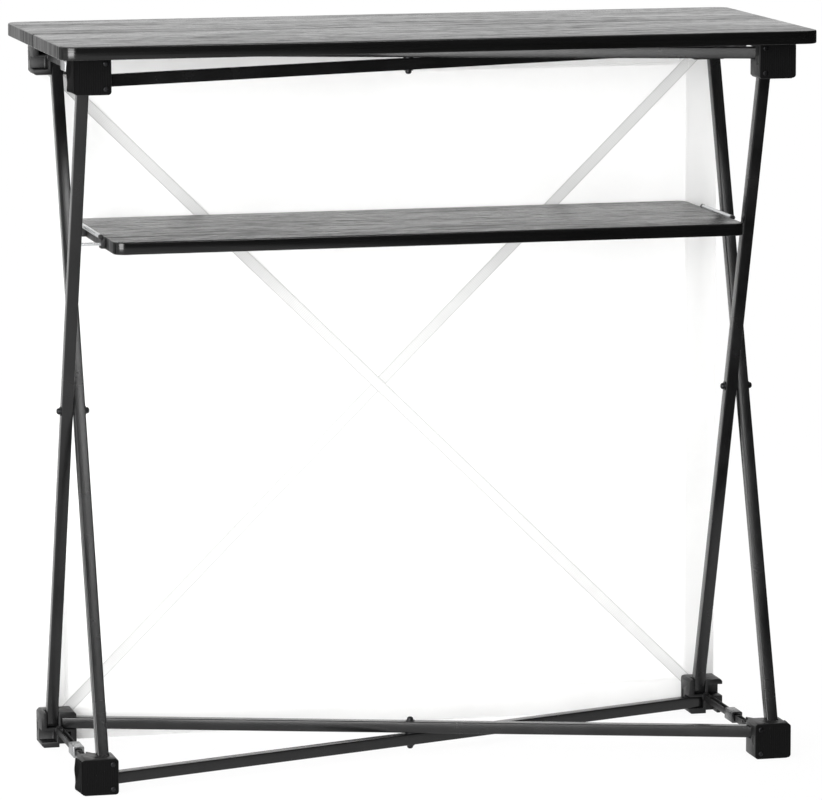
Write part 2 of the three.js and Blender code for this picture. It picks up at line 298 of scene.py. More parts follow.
paintLook = {"ior": 1.47, "specular": 0.42, "dark": (0.003, 0.003, 0.0031), "light": (0.008, 0.008, 0.0082),
             "rough": (0.2, 0.3), "cloud": ((14, 14, 14), 6), "peel": ((900, 900, 900), 3),
             "bump": (0.2, 0.0003)}


def makeTubePaint():
    finish, tree, shader = newFinish("powderCoat", paintLook["specular"], IOR=paintLook["ior"])
    cloud = stretchedNoise(tree, *paintLook["cloud"])
    peel = stretchedNoise(tree, *paintLook["peel"])
    low, high = paintLook["rough"]
    feed(shader, "Base Color", ramp(tree, cloud, (0.3, paintLook["dark"]), (0.7, paintLook["light"])))
    feed(shader, "Roughness", ramp(tree, cloud, (0.3, low), (0.75, high)))
    bump(tree, shader, peel, *paintLook["bump"])
    return finish


tapeLook = {"ior": 1.4, "specular": 0.15, "rough": 0.85, "dark": (0.0008, 0.0008, 0.0008),
            "light": (0.004, 0.004, 0.0042), "fuzz": ((1500, 1500, 700), 5, 0.7), "bump": (0.4, 0.0005)}


def makeTape():
    finish, tree, shader = newFinish("hookTape", tapeLook["specular"], IOR=tapeLook["ior"],
                                     Roughness=tapeLook["rough"])
    fuzz = stretchedNoise(tree, *tapeLook["fuzz"])
    feed(shader, "Base Color", ramp(tree, fuzz, (0.3, tapeLook["dark"]), (0.75, tapeLook["light"])))
    bump(tree, shader, fuzz, *tapeLook["bump"])
    return finish


brushedLook = {"darker": 0.8, "detail": 4, "bump": (0.1, 0.0002)}


def makeBrushed(name, colour, scale, rough):
    finish, tree, shader = newFinish(name, Metallic=1.0)
    lines = stretchedNoise(tree, scale, brushedLook["detail"])
    dark = [c * brushedLook["darker"] for c in colour]
    feed(shader, "Base Color", ramp(tree, lines, (0.3, dark), (0.7, colour)))
    feed(shader, "Roughness", ramp(tree, lines, (0.3, rough[0]), (0.7, rough[1])))
    bump(tree, shader, lines, *brushedLook["bump"])
    return finish


# dark ash laminate, grain along the length
grainLook = {"dark": (0.010, 0.0098, 0.0096), "mid": (0.024, 0.0236, 0.0232), "light": (0.06, 0.059, 0.058),
             "rough": (0.5, 0.30455, 0.17), "ior": 1.52, "bump": (0.35, 0.00025)}
grainNoise = {"fine": ((9, 420, 420), 6, 0.62), "streak": ((5.5, 75, 75), 5, 0.6),
              "fleck": ((34, 120, 120), 6, 0.7), "broad": ((1.6, 16, 16), 4, 0.55),
              "pores": ((26, 1300, 1300), 3, 0.5), "mottle": ((60, 85, 85), 4, 0.65),
              "dash": ((30, 90, 90), 4, 0.62), "hair": ((30, 700, 700), 3, 0.6)}


def makeGrain(name, gloss):
    finish, tree, shader = newFinish(name, IOR=grainLook["ior"])
    noise = {kind: stretchedNoise(tree, *look) for kind, look in grainNoise.items()}
    dark, mid, light = (grainLook[key] for key in ("dark", "mid", "light"))
    tone = ramp(tree, noise["fine"], (0.28, dark), (0.5, mid), (0.74, light))
    band = ramp(tree, noise["streak"], (0.3, 0.45), (0.7, 1.0))
    speck = ramp(tree, noise["pores"], (0.36, 0.25), (0.46, 1.0))
    colour = mixed(tree, mixed(tree, tone, band, "MULTIPLY"), speck, "MULTIPLY", 0.8)
    feed(shader, "Base Color", colour)
    patches = mixed(tree, noise["streak"], noise["fleck"], "MIX", 0.5)
    wear = mixed(tree, patches, noise["broad"], "MIX", 0.2)
    worn, used, smooth = grainLook["rough"]
    feed(shader, "Roughness", ramp(tree, wear, (0.38, worn), (0.48, used), (0.6, smooth)))
    dash = ramp(tree, noise["dash"], (0.34, 0.2), (0.42, 1.0))
    spots = mixed(tree, noise["fleck"], noise["mottle"], "MIX", 0.5)
    speckle = mixed(tree, spots, noise["hair"], "MIX", 0.25)
    sheen = ramp(tree, speckle, (0.42, 0.2), (0.5, 0.5), (0.58, 0.8))
    feed(shader, "Specular IOR Level", mixed(tree, sheen, dash, "MULTIPLY"))
    ridges = ramp(tree, noise["fine"], (0.25, 0.0), (0.75, 1.0))
    bump(tree, shader, mixed(tree, ridges, speck, "MULTIPLY", 0.7), *grainLook["bump"])
    # a gloss below 1 blends in a plain diffuse copy that dims the reflection, used as painted shade on the
    # shelf
    matt = addNode(tree, "ShaderNodeBsdfDiffuse")
    feed(matt, "Color", colour)
    blendShaders(tree, shader, matt, 1 - gloss)
    return finish


bandLook = {"ior": 1.5, "detail": (5, 0.62), "bump": (0.12, 0.0003)}


def makeEdgeBand(name, scale, sheen, rough, dark, light):
    finish, tree, shader = newFinish(name, IOR=bandLook["ior"])
    grain = stretchedNoise(tree, scale, *bandLook["detail"])
    feed(shader, "Base Color", ramp(tree, grain, (0.3, dark), (0.75, light)))
    feed(shader, "Roughness", ramp(tree, grain, (0.3, rough[1]), (0.7, rough[0])))
    feed(shader, "Specular IOR Level", ramp(tree, grain, (0.34, sheen[0]), (0.66, sheen[1])))
    bump(tree, shader, grain, *bandLook["bump"])
    return finish


# cover cloth; "through" is the share of light that it lets through
clothLook = {"ior": 1.35, "rough": 0.85, "dark": (0.89, 0.89, 0.887), "light": (0.92, 0.92, 0.917),
             "weave": {"Scale": 330.0, "Distortion": 0.6, "Detail": 1.0}, "cloud": ((9, 9, 9), 5),
             "bump": (0.2, 0.0003), "through": 0.45}


def makeCloth(name, level):
    finish, tree, shader = newFinish(name, Roughness=clothLook["rough"], IOR=clothLook["ior"])
    place = addNode(tree, "ShaderNodeTexCoord")
    waves = []
    for direction in ("X", "Z"):
        wave = addNode(tree, "ShaderNodeTexWave", wave_type="BANDS", bands_direction=direction,
                       **clothLook["weave"])
        feed(wave, "Vector", place.outputs["Object"])
        waves.append(wave.outputs["Color"])
    weave = mixed(tree, waves[0], waves[1], "ADD", 0.5)
    cloud = stretchedNoise(tree, *clothLook["cloud"])
    dark, light = ([c * level for c in clothLook[key]] for key in ("dark", "light"))
    thread = ramp(tree, weave, (0.1, 0.96), (0.8, 1.0))
    colour = mixed(tree, ramp(tree, cloud, (0.3, dark), (0.7, light)), thread, "MULTIPLY")
    feed(shader, "Base Color", colour)
    knit = bump(tree, shader, weave, *clothLook["bump"])
    through = addNode(tree, "ShaderNodeBsdfTranslucent")
    feed(through, "Color", colour)
    feed(through, "Normal", knit.outputs["Normal"])
    blendShaders(tree, shader, through, clothLook["through"])
    return finish


# painted shade: the white webbing is given a grey of about 0.64 so the straps stand darker than the lit
# cloth behind them
webbingLook = {"sockets": {"IOR": 1.4, "Roughness": 0.8, "Sheen Weight": 0.2},
               "dark": (0.63, 0.63, 0.627), "light": (0.655, 0.655, 0.652),
               "weave": {"Scale": 150.0, "Distortion": 0.4}, "cloud": ((40, 40, 40), 4),
               "bump": (0.35, 0.0005)}


def makeWebbing():
    finish, tree, shader = newFinish("ribbedWebbingShaded", **webbingLook["sockets"])
    place = addNode(tree, "ShaderNodeUVMap")
    wave = addNode(tree, "ShaderNodeTexWave", wave_type="BANDS", bands_direction="X",
                   **webbingLook["weave"])
    feed(wave, "Vector", place.outputs["UV"])
    cloud = stretchedNoise(tree, *webbingLook["cloud"])
    shade = ramp(tree, cloud, (0.3, webbingLook["dark"]), (0.7, webbingLook["light"]))
    thread = ramp(tree, wave.outputs["Color"], (0.1, 0.9), (0.8, 1.0))
    # painted shadow lines: both long edges of each strap are darkened to 0.82-0.84
    split = addNode(tree, "ShaderNodeSeparateXYZ")
    feed(split, 0, place.outputs["UV"])
    edgeShadowLines = ramp(tree, split.outputs["Y"], (0.0, 0.82), (0.07, 0.84), (0.11, 1.0),
                    (0.89, 1.0), (0.93, 0.84), (1.0, 0.82))
    feed(shader, "Base Color", mixed(tree, mixed(tree, shade, thread, "MULTIPLY"), edgeShadowLines, "MULTIPLY"))
    bump(tree, shader, wave.outputs["Color"], *webbingLook["bump"])
    return finish


mouldedBlack = makeMoulded("mouldedBlack", dark=(0.004, 0.004, 0.0042), light=(0.008, 0.008, 0.0083),
                           rough=(0.36, 0.5))
bracketGrey = makeMoulded("bracketGrey", dark=(0.01, 0.01, 0.0103), light=(0.02, 0.02, 0.0205),
                          rough=(0.4, 0.55))
undersideBlack = makeMoulded("undersideBlack", dark=(0.014, 0.014, 0.014), light=(0.022, 0.022, 0.022),
                             rough=(0.6, 0.75))
tubePaint = makeTubePaint()
hookTape = makeTape()
brightMetal = makeBrushed("brightMetal", colour=(0.7, 0.71, 0.72), scale=(900, 25, 900), rough=(0.22, 0.38))
sleeveMetal = makeBrushed("sleeveMetal", colour=(0.34, 0.345, 0.35), scale=(1600, 60, 1600),
                          rough=(0.3, 0.36))
# painted shade: the right sleeves get a darker copy of the same sleeve metal
sleeveMetalShaded = makeBrushed("sleeveMetalShaded", colour=(0.09, 0.09, 0.092), scale=(1600, 60, 1600),
                         rough=(0.24, 0.34))
boltBlack = makeBrushed("boltBlack", colour=(0.035, 0.035, 0.037), scale=(300, 300, 300),
                        rough=(0.3, 0.45))
zincSteel = makeBrushed("zincSteel", colour=(0.55, 0.56, 0.57), scale=(20, 700, 700), rough=(0.3, 0.5))
ashLaminate = makeGrain("ashLaminate", gloss=1.0)
# painted shade: the shelf's copy of the laminate reflects 15% less, dimming its reflection of the lit cloth
# above it
shelfLaminateShaded = makeGrain("shelfLaminateShaded", gloss=0.85)
edgeBand = makeEdgeBand("edgeBand", scale=(7, 7, 420), sheen=(0.26, 0.48), rough=(0.16, 0.23),
                        dark=0.001, light=0.003)
endBand = makeEdgeBand("endBand", scale=(60, 170, 9), sheen=(0.02, 0.22), rough=(0.3, 0.44),
                       dark=0.002, light=0.008)
wovenCloth = makeCloth("wovenCloth", level=1.0)
# painted light: the hem's copy of the cloth is 2% lighter than the panel's
hemClothLightened = makeCloth("hemClothLightened", level=1.02)
ribbedWebbingShaded = makeWebbing()
print("finishes made:", len(bpy.data.materials))


# hubs: one pinwheel block, copied to the eight corners
hubLook = {"half": 0.025, "inner": 0.011, "outer": 0.032, "corner": 0.0034, "edge": 0.0007,
           "pocketHalf": 0.0083, "pocketRun": (-0.020, 0.0118), "pocketRise": (0.0032, 0.030),
           "pocketRound": 0.003, "slot": (0.012, 0.005, 0.003), "slotY": 0.022, "slotOver": 0.002,
           "bossRadius": 0.0062, "bossRun": (-0.0105, -0.014), "bossEase": 0.0008}


def makeHub():
    h = hubLook["half"]
    hub = startBlock("hubMould", (-h, -hubLook["inner"], -h), (h, hubLook["outer"], h))
    roundEdges(hub, lambda a, b: runsAlong(a, b, "y"), hubLook["corner"], segments=1)
    pocketHalf, slotY = hubLook["pocketHalf"], hubLook["slotY"]
    mouth, back = hubLook["pocketRun"]
    floorZ, topZ = hubLook["pocketRise"]
    slotLength, slotWidth, slotDepth = hubLook["slot"]
    for quarter in range(4):
        pocket = startBlock("pocketCut", (-barOffset - pocketHalf, mouth, floorZ),
                            (-barOffset + pocketHalf, back, topZ))
        roundEdges(pocket, lambda a, b: runsAlong(a, b, "x") and liesAt(a, b, "y", back)
                   and liesAt(a, b, "z", floorZ), hubLook["pocketRound"])
        keySlot = startBlock("slotCut", (-slotLength / 2, slotY - slotWidth / 2, h - slotDepth),
                             (slotLength / 2, slotY + slotWidth / 2, h + hubLook["slotOver"]))
        for cutter in (pocket, keySlot):
            cutter.data.transform(turnAbout("Y", quarter * 90))
        cutAway(hub, pocket, keySlot)
    softenEdges(hub, hubLook["edge"])
    foot, tip = hubLook["bossRun"]
    boss = startRound("bossMould", hubLook["bossRadius"], (0, foot, 0), (0, tip, 0))
    roundEdges(boss, lambda a, b: liesAt(a, b, "y", tip), hubLook["bossEase"], segments=3)
    shadeSoft(boss)
    return joinTo(hub, boss)


hubMaster = makeHub()
hubPlace = {}
for level, z in levels.items():
    for face, side in faceSides.items():
        for end, outward in endSides.items():
            name = f"{level}_{face}_{end}"
            place = turnAbout("Z", 0 if side > 0 else 180, (outward * halfPitch, side * pivotY, z))
            hubPlace[name] = (place, outward * side)
            piece = copyTo(hubMaster, f"hubBlock_{name}", place)
            placePiece(piece, f"hub_{name}", "moulded", mouldedBlack, f"hub_{name}")
bpy.data.objects.remove(hubMaster)
print("hubs placed:", len(hubPlace))


# tape pads: a soft-cornered skin with upright ribs over the closed face
# the front ones also wrap round the outer end, where the tape's loose end lifts
padLook = {"base": 0.032, "face": 0.0336, "half": 0.024, "outer": 0.027,
           "corner": 0.0045, "innerCorner": 0.002,
           "wrapEnd": -0.004, "wrapHalf": 0.0218, "fold": 0.0014, "wrapCuts": 7, "longEdge": 0.02}
ribLook = {"height": 0.0004, "pitch": 0.0031, "width": 0.001705, "round": 0.000775, "sink": 0.0003,
           "inset": 0.0018, "stop": 0.0022, "wrapInset": 0.0016, "wrapStart": 0.003, "wrapStop": 0.0016}
liftLook = {"amount": 0.0032, "side": 0.0248, "from": 0.031, "run": 0.034,
            "waves": 210, "shift": 0.6, "share": 0.2}


def makePadFace(skin):
    half, base, face = (padLook[key] for key in ("half", "base", "face"))
    rise, pitch, width, sink = (ribLook[key] for key in ("height", "pitch", "width", "sink"))
    pad = startBlock("padMould", (-half, base, -half), (skin, face, half))
    roundEdges(pad, lambda a, b: runsAlong(a, b, "y") and a.x > 0, padLook["corner"], segments=5)
    roundEdges(pad, lambda a, b: runsAlong(a, b, "y") and a.x < 0, padLook["innerCorner"], segments=3)
    first, ribHalf = -half + padLook["innerCorner"], half - ribLook["inset"]
    rib = startBlock("padRib", (first, face - sink, -ribHalf), (first + width, face + rise, ribHalf))
    roundEdges(rib, lambda a, b: runsAlong(a, b, "z") and a.y > face, ribLook["round"], segments=2)
    arrayAlong(rib, int((skin - ribLook["stop"] - first) / pitch), (pitch, 0, 0))
    return [pad, rib]


def makePadWrap(skin):
    face, end, reach = (padLook[key] for key in ("face", "wrapEnd", "wrapHalf"))
    rise, pitch, width, sink = (ribLook[key] for key in ("height", "pitch", "width", "sink"))
    wrap = startBlock("padWrap", (hubLook["half"], end, -reach), (skin, face, reach))
    roundEdges(wrap, lambda a, b: liesAt(a, b, "x", skin) and liesAt(a, b, "y", face), padLook["fold"])
    roundEdges(wrap, lambda a, b: runsAlong(a, b, "x") and liesAt(a, b, "y", end),
               padLook["corner"], segments=5)
    first, ribHalf = end + ribLook["wrapStart"], reach - ribLook["wrapInset"]
    rib = startBlock("wrapRib", (skin - sink, first, -ribHalf), (skin + rise, first + width, ribHalf))
    roundEdges(rib, lambda a, b: runsAlong(a, b, "z") and a.x > skin, ribLook["round"], segments=2)
    for soft in (wrap, rib):        # enough points to bend
        pickEdges(soft, lambda a, b: (b - a).length > padLook["longEdge"])
        bpy.ops.mesh.subdivide(number_cuts=padLook["wrapCuts"])
        bpy.ops.object.mode_set(mode="OBJECT")
    arrayAlong(rib, int((face - ribLook["wrapStop"] - first) / pitch), (0, pitch, 0))
    return [wrap, rib]


def makePad(wrapped):
    skin = padLook["outer"] - ribLook["height"] if wrapped else padLook["half"]
    parts = makePadFace(skin)
    if wrapped:
        parts += makePadWrap(skin)
    pad = joinTo(*parts)
    shadeSoft(pad)
    return pad


def liftTape(pad):
    share = liftLook["share"]
    for point in pad.data.vertices:
        if point.co.x > liftLook["side"] and point.co.y < liftLook["from"]:
            t = min(1.0, (liftLook["from"] - point.co.y) / liftLook["run"])
            wave = 1 - share + share * math.sin(point.co.z * liftLook["waves"] + liftLook["shift"])
            point.co.x += liftLook["amount"] * t * t * (3 - 2 * t) * wave


screwLook = {"radius": 0.0034, "foot": 0.0332, "head": 0.0352, "dome": 0.0011, "gap": 0.034, "inset": 0.007,
             "driveArm": 0.0017, "driveHalf": 0.0004, "driveRun": (0.0343, 0.036)}


def makeScrew():
    head = screwLook["head"]
    screw = startRound("screwMould", screwLook["radius"], (0, screwLook["foot"], 0), (0, head, 0), sides=24)
    roundEdges(screw, lambda a, b: liesAt(a, b, "y", head), screwLook["dome"])
    arm, thin = screwLook["driveArm"], screwLook["driveHalf"]
    deep, over = screwLook["driveRun"]
    for x, z in ((arm, thin), (thin, arm)):
        cutAway(screw, startBlock("driveCut", (-x, deep, -z), (x, over, z)))
    shadeSoft(screw)
    return screw


padMasters = {"back": makePad(False), "front": makePad(True)}
liftTape(padMasters["front"])
screwMaster = makeScrew()
mirrorX = Matrix.Diagonal((-1, 1, 1, 1))
screwX = screwLook["inset"] - padLook["half"]
for name, (place, localOut) in hubPlace.items():
    flip = place if localOut > 0 else place @ mirrorX
    pad = copyTo(padMasters[name.split("_")[1]], f"tapePad_{name}", flip)
    placePiece(pad, f"hub_{name}", "hook_tape", hookTape, f"pad_{name}")
    heads = []
    for z in (-screwLook["gap"] / 2, screwLook["gap"] / 2):
        heads.append(copyTo(screwMaster, f"padScrew_{name}", flip @ Matrix.Translation((screwX, 0, z))))
    placePiece(joinTo(*heads), f"hub_{name}", "moulded", boltBlack)
for master in (*padMasters.values(), screwMaster):
    bpy.data.objects.remove(master)
print("tape pads wrapped")


# square-tube bars: one tube with rolled corners and a plug sunk in each end
tubeLook = {"half": 0.008, "length": 0.9837, "corner": 0.0016, "wall": 0.0015, "plug": 0.0012}


def makeTube():
    h, reach = tubeLook["half"], tubeLook["length"] / 2
    tube = startBlock("tubeMould", (-reach, -h, -h), (reach, h, h))
    roundEdges(tube, lambda a, b: runsAlong(a, b, "x"), tubeLook["corner"])
    hollowEnds(tube, "x", tubeLook["wall"], tubeLook["plug"])
    shadeSoft(tube, angle=35)
    return tube


tubeMaster = makeTube()
for level, z in levels.items():
    for place, sign in (("lower", -1), ("upper", 1)):
        name = f"bar_{level}_{place}"
        turn = Matrix.Translation((0, 0, z + sign * barOffset)) @ Matrix.Rotation(-sign * barTurn, 4, "Z")
        piece = copyTo(tubeMaster, f"crossTube_{level}_{place}", turn)
        placePiece(piece, name, "black_tube", tubePaint, name)

# the end bars carry the studs that the shelf hangs on
studLook = {"radius": 0.0022, "z": 0.7387, "tip": 0.4425, "chamfer": 0.0006, "sink": 0.001}
studY = (studLook["z"] - middleZ) * barSlope
for end, outward in endSides.items():
    for place, shift in (("inner", -1), ("outer", 1)):
        name = f"leg_{end}_{place}"
        x = outward * (halfPitch + shift * barOffset)
        lean = outward * shift
        upright = Matrix.Rotation(-lean * barTurn, 4, "X") @ Matrix.Rotation(-math.pi / 2, 4, "Y")
        leg = copyTo(tubeMaster, f"endTube_{end}_{place}", Matrix.Translation((x, 0, middleZ)) @ upright)
        root, tip = x - outward * (tubeLook["half"] - studLook["sink"]), outward * studLook["tip"]
        stud = startRound("studMould", studLook["radius"], (root, lean * studY, studLook["z"]),
                          (tip, lean * studY, studLook["z"]), sides=24)
        roundEdges(stud, lambda a, b: liesAt(a, b, "x", tip), studLook["chamfer"], segments=3)
        shadeSoft(stud)
        leg.data.materials.append(tubePaint)
        stud.data.materials.append(brightMetal)
        placePiece(joinTo(leg, stud), name, "black_tube", None, name)
bpy.data.objects.remove(tubeMaster)
print("bars and studs placed")


# centre bolts: domed nut each side, washers under them
boltLook = {"face": 0.01685, "radius": 0.0045, "height": 0.006, "dome": 0.0034,
            "washer": 0.0065, "washerThick": 0.0012, "washerEase": 0.0004,
            "shank": 0.003, "shankHalf": 0.0165, "spacer": 0.007, "spacerHalf": 0.0005}


def makeBolt():
    shankEnd, spacerEnd = boltLook["shankHalf"], boltLook["spacerHalf"]
    parts = [startRound("boltMould", boltLook["shank"], (0, 0, -shankEnd), (0, 0, shankEnd), sides=24),
             startRound("boltSpacer", boltLook["spacer"], (0, 0, -spacerEnd), (0, 0, spacerEnd))]
    for sign in (-1, 1):
        base = sign * boltLook["face"]
        washerTop = base + sign * boltLook["washerThick"]
        washer = startRound("boltWasher", boltLook["washer"], (0, 0, base), (0, 0, washerTop))
        roundEdges(washer, lambda a, b: liesAt(a, b, "z", washerTop), boltLook["washerEase"], segments=2)
        top = base + sign * boltLook["height"]
        nut = startRound("boltNut", boltLook["radius"], (0, 0, washerTop), (0, 0, top))
        roundEdges(nut, lambda a, b: liesAt(a, b, "z", top), boltLook["dome"], segments=6)
        parts += [washer, nut]
    for part in parts:
        shadeSoft(part)
    return joinTo(*parts)


boltMaster = makeBolt()
boltSpots = {"bottom": ((0, 0, levels["bottom"]), 0, "bottom_pivot"),
             "top": ((0, 0, levels["top"]), 0, "top_pivot"),
             "left": ((-halfPitch, 0, middleZ), 90, "leg_left_inner"),
             "right": ((halfPitch, 0, middleZ), 90, "leg_right_inner")}
for spot, (place, turn, body) in boltSpots.items():
    piece = copyTo(boltMaster, f"crossBolt_{spot}", turnAbout("Y", turn, place))
    placePiece(piece, body, "bright", boltBlack, f"bolt_{spot}")
bpy.data.objects.remove(boltMaster)
print("centre bolts placed")


# lock arms: open channel, bright sleeve, catch with its thumb lever
armLook = {"half": 0.0045, "end": 0.136}
channelLook = {"front": 0.005, "rim": 0.0013, "groove": 0.0055, "grooveStop": 0.010, "over": 0.002,
               "edge": 0.0004}


def makeChannel():
    h, end = armLook["half"], armLook["end"]
    channel = startBlock("channelMould", (-h, channelLook["front"], -h), (h, end, h))
    rim = h - channelLook["rim"]
    cutAway(channel, startBlock("grooveCut", (-rim, 0, h - channelLook["groove"]),
                                (rim, end - channelLook["grooveStop"], h + channelLook["over"])))
    softenEdges(channel, channelLook["edge"])
    return channel


sleeveLook = {"run": (-0.015, 0.020), "half": 0.008, "corner": 0.0022, "gap": 0.0002, "over": 0.01,
              "edge": 0.0005}


def makeSleeve():
    front, back = sleeveLook["run"]
    s, over = sleeveLook["half"], sleeveLook["over"]
    sleeve = startBlock("sleeveMould", (-s, front, -s), (s, back, s))
    roundEdges(sleeve, lambda a, b: runsAlong(a, b, "y"), sleeveLook["corner"], segments=5)
    bore = armLook["half"] + sleeveLook["gap"]
    cutAway(sleeve, startBlock("boreCut", (-bore, front - over, -bore), (bore, back + over, bore)))
    softenEdges(sleeve, sleeveLook["edge"])
    return sleeve


catchLook = {"back": 0.003, "gap": 0.0003, "edge": 0.0005, "cheek": 0.0012, "hollow": (-0.118, -0.024),
             "hollowFloor": 0.0005, "over": 0.002, "collar": (-0.082, -0.030), "collarProud": 0.0004,
             "collarTop": 0.0012, "collarEdge": 0.0006, "pinRadius": 0.0014, "pinY": -0.055, "pinZ": 0.0026,
             "pinProud": (0.0006, 0.0001)}


def makeCatch():
    h = armLook["half"]
    slim, cheek = h - catchLook["gap"], h - catchLook["cheek"]
    tongue = startBlock("catchMould", (-slim, -armLook["end"], -slim), (slim, catchLook["back"], slim))
    front, back = catchLook["hollow"]
    cutAway(tongue, startBlock("cheekCut", (-cheek, front, catchLook["hollowFloor"]),
                               (cheek, back, h + catchLook["over"])))
    softenEdges(tongue, catchLook["edge"])
    front, back = catchLook["collar"]
    proud = h + catchLook["collarProud"]
    collar = startBlock("catchCollar", (-proud, front, -proud), (proud, back, catchLook["collarTop"]))
    softenEdges(collar, catchLook["collarEdge"])
    y, z = catchLook["pinY"], catchLook["pinZ"]
    left, right = catchLook["pinProud"]
    pin = startRound("catchPin", catchLook["pinRadius"], (-h - left, y, z), (h + right, y, z), sides=20)
    shadeSoft(pin)
    return joinTo(tongue, collar, pin)


leverLook = {"run": (-0.070, -0.040), "rise": (0.002, 0.006), "reach": 0.014, "gap": 0.0006, "edge": 0.0006,
             "nose": (1, 0.12, 0.5), "noseY": 0.0227, "grips": 4, "gripRadius": 0.0004, "gripX": 0.003,
             "gripPitch": 0.0015, "gripRun": (-0.0545, -0.0465), "gripTaper": (0.0012, 0.0004),
             "gripFall": 0.00016}


def makeLever():
    front, back = leverLook["run"]
    low, high = leverLook["rise"]
    reach, inner = leverLook["reach"], armLook["half"] + leverLook["gap"]
    lever = startBlock("leverMould", (inner, front, low), (reach, back, high))
    pickFaces(lever, lambda normal: normal.x > picking["facing"])
    bpy.ops.transform.resize(value=leverLook["nose"],
                             center_override=(reach, front + leverLook["noseY"], (low + high) / 2))
    bpy.ops.object.mode_set(mode="OBJECT")
    softenEdges(lever, leverLook["edge"], segments=3)
    gripFront, gripBack = leverLook["gripRun"]
    frontTaper, backTaper = leverLook["gripTaper"]
    for step in range(leverLook["grips"]):
        x = inner + leverLook["gripX"] + step * leverLook["gripPitch"]
        z = high - leverLook["gripRadius"] - step * leverLook["gripFall"]
        grip = startRound("leverGrip", leverLook["gripRadius"], (x, gripFront + step * frontTaper, z),
                          (x, gripBack - step * backTaper, z), sides=12)
        shadeSoft(grip)
        joinTo(lever, grip)
    return lever


# left sleeves bright, right sleeves painted shade (a darker copy of the same metal)
sleeveFinish = {"left": sleeveMetal, "right": sleeveMetalShaded}
armMasters = {"channel": makeChannel(), "sleeve": makeSleeve(), "catch": makeCatch(), "lever": makeLever()}
for level, z in levels.items():
    for end, outward in endSides.items():
        place = Matrix.Translation((outward * halfPitch, 0, z))
        bodies = {"channel": f"hub_{level}_back_{end}", "sleeve": f"hub_{level}_back_{end}",
                  "catch": f"hub_{level}_front_{end}", "lever": f"lever_{level}_{end}"}
        for part, master in armMasters.items():
            piece = copyTo(master, f"lock_{part}_{level}_{end}_piece", place)
            isSleeve = part == "sleeve"
            placePiece(piece, bodies[part], "bright" if isSleeve else "moulded",
                       sleeveFinish[end] if isSleeve else mouldedBlack, f"lock_{level}_{end}_{part}")
for master in armMasters.values():
    bpy.data.objects.remove(master)
print("lock arms placed")


# boards: grain on top, banded edges, plain underside
boardLook = {"ease": 0.0016, "topCorner": 0.021, "seamCorner": 0.004, "shelfCorner": 0.015,
             "shelfReach": 0.004, "flat": 0.8, "endOn": 0.85}
cornerSigns = [(sx, sy) for sx in (-1, 1) for sy in (-1, 1)]


def boardPart(normal):
    if abs(normal.z) > boardLook["flat"]:
        return "face" if normal.z > 0 else "under"
    return "end" if abs(normal.x) > boardLook["endOn"] else "edge"


def makeBoard(name, low, high, corners, face):
    board = startBlock(name, low, high)
    middle = (low + high) / 2
    for (sx, sy), radius in corners.items():
        roundEdges(board, lambda a, b: runsAlong(a, b, "z") and (a.x - middle.x) * sx > 0
                   and (a.y - middle.y) * sy > 0, radius, segments=10)
    roundEdges(board, lambda a, b: liesAt(a, b, "z", high.z) or liesAt(a, b, "z", low.z),
               boardLook["ease"], segments=3)
    finishes = {"face": face, "edge": edgeBand, "under": undersideBlack, "end": endBand}
    for finish in finishes.values():
        board.data.materials.append(finish)
    order = list(finishes)
    for side in board.data.polygons:
        side.material_index = order.index(boardPart(side.normal))
    shadeSoft(board, angle=35)
    return board


for side, name, body in ((-1, "top_front_plank", "top_front"), (1, "top_rear_plank", "top_rear")):
    low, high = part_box(name)
    corners = {(sx, sy): boardLook["topCorner" if sy == side else "seamCorner"] for sx, sy in cornerSigns}
    plank = makeBoard(f"plank_{body}", low, high, corners, ashLaminate)
    placePiece(plank, body, "laminate", None, name)
low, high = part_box("shelf_board")
low.x, high.x = low.x - boardLook["shelfReach"], high.x + boardLook["shelfReach"]
shelfEnd = high.x
corners = dict.fromkeys(cornerSigns, boardLook["shelfCorner"])
shelf = makeBoard("shelfPlank", low, high, corners, shelfLaminateShaded)
placePiece(shelf, "shelf", "laminate", None, "shelf_board")
print("boards cut")


# shelf rails and the small clips that hang them on the studs
railLook = {"radius": 0.0031, "out": 0.0044, "z": 0.7475, "half": 0.069, "wall": 0.0008, "bore": 0.012,
            "capLong": 0.005, "capLap": 0.0004, "capProud": 0.0003, "capEase": 0.0006}
clipLook = {"y": 0.0722, "wide": 0.0058, "deep": 0.0174, "rise": (0.7323, 0.7475), "fit": 0.0001,
            "edge": 0.0005, "seatHalf": 0.02, "over": 0.01, "mouthOver": 0.001}


def makeRail(end, x):
    reach, z = railLook["half"], railLook["z"]
    rail = startRound(f"endRail_{end}", railLook["radius"], (x, -reach, z), (x, reach, z), sides=40)
    hollowEnds(rail, "y", railLook["wall"], railLook["bore"])
    shadeSoft(rail)
    return rail


def makeClip(name, outward, side, railX):
    near, far = sorted((outward * shelfEnd, outward * (shelfEnd + clipLook["wide"])))
    bottom, top = clipLook["rise"]
    fit, over, seatHalf = (clipLook[key] for key in ("fit", "over", "seatHalf"))
    y, deep = side * clipLook["y"], clipLook["deep"] / 2
    clip = startBlock(name, (near, y - deep, bottom), (far, y + deep, top))
    seat = startRound("seatCut", railLook["radius"] + fit, (railX, y - seatHalf, railLook["z"]),
                      (railX, y + seatHalf, railLook["z"]), sides=40)
    hookY, hookZ, hookRadius = side * studY, studLook["z"], studLook["radius"]
    hook = startRound("hookCut", hookRadius + fit, (near - over, hookY, hookZ), (far + over, hookY, hookZ))
    mouth = startBlock("mouthCut", (near - over, hookY - hookRadius, bottom - clipLook["mouthOver"]),
                       (far + over, hookY + hookRadius, hookZ))
    cutAway(clip, seat, hook, mouth)
    softenEdges(clip, clipLook["edge"])
    return clip


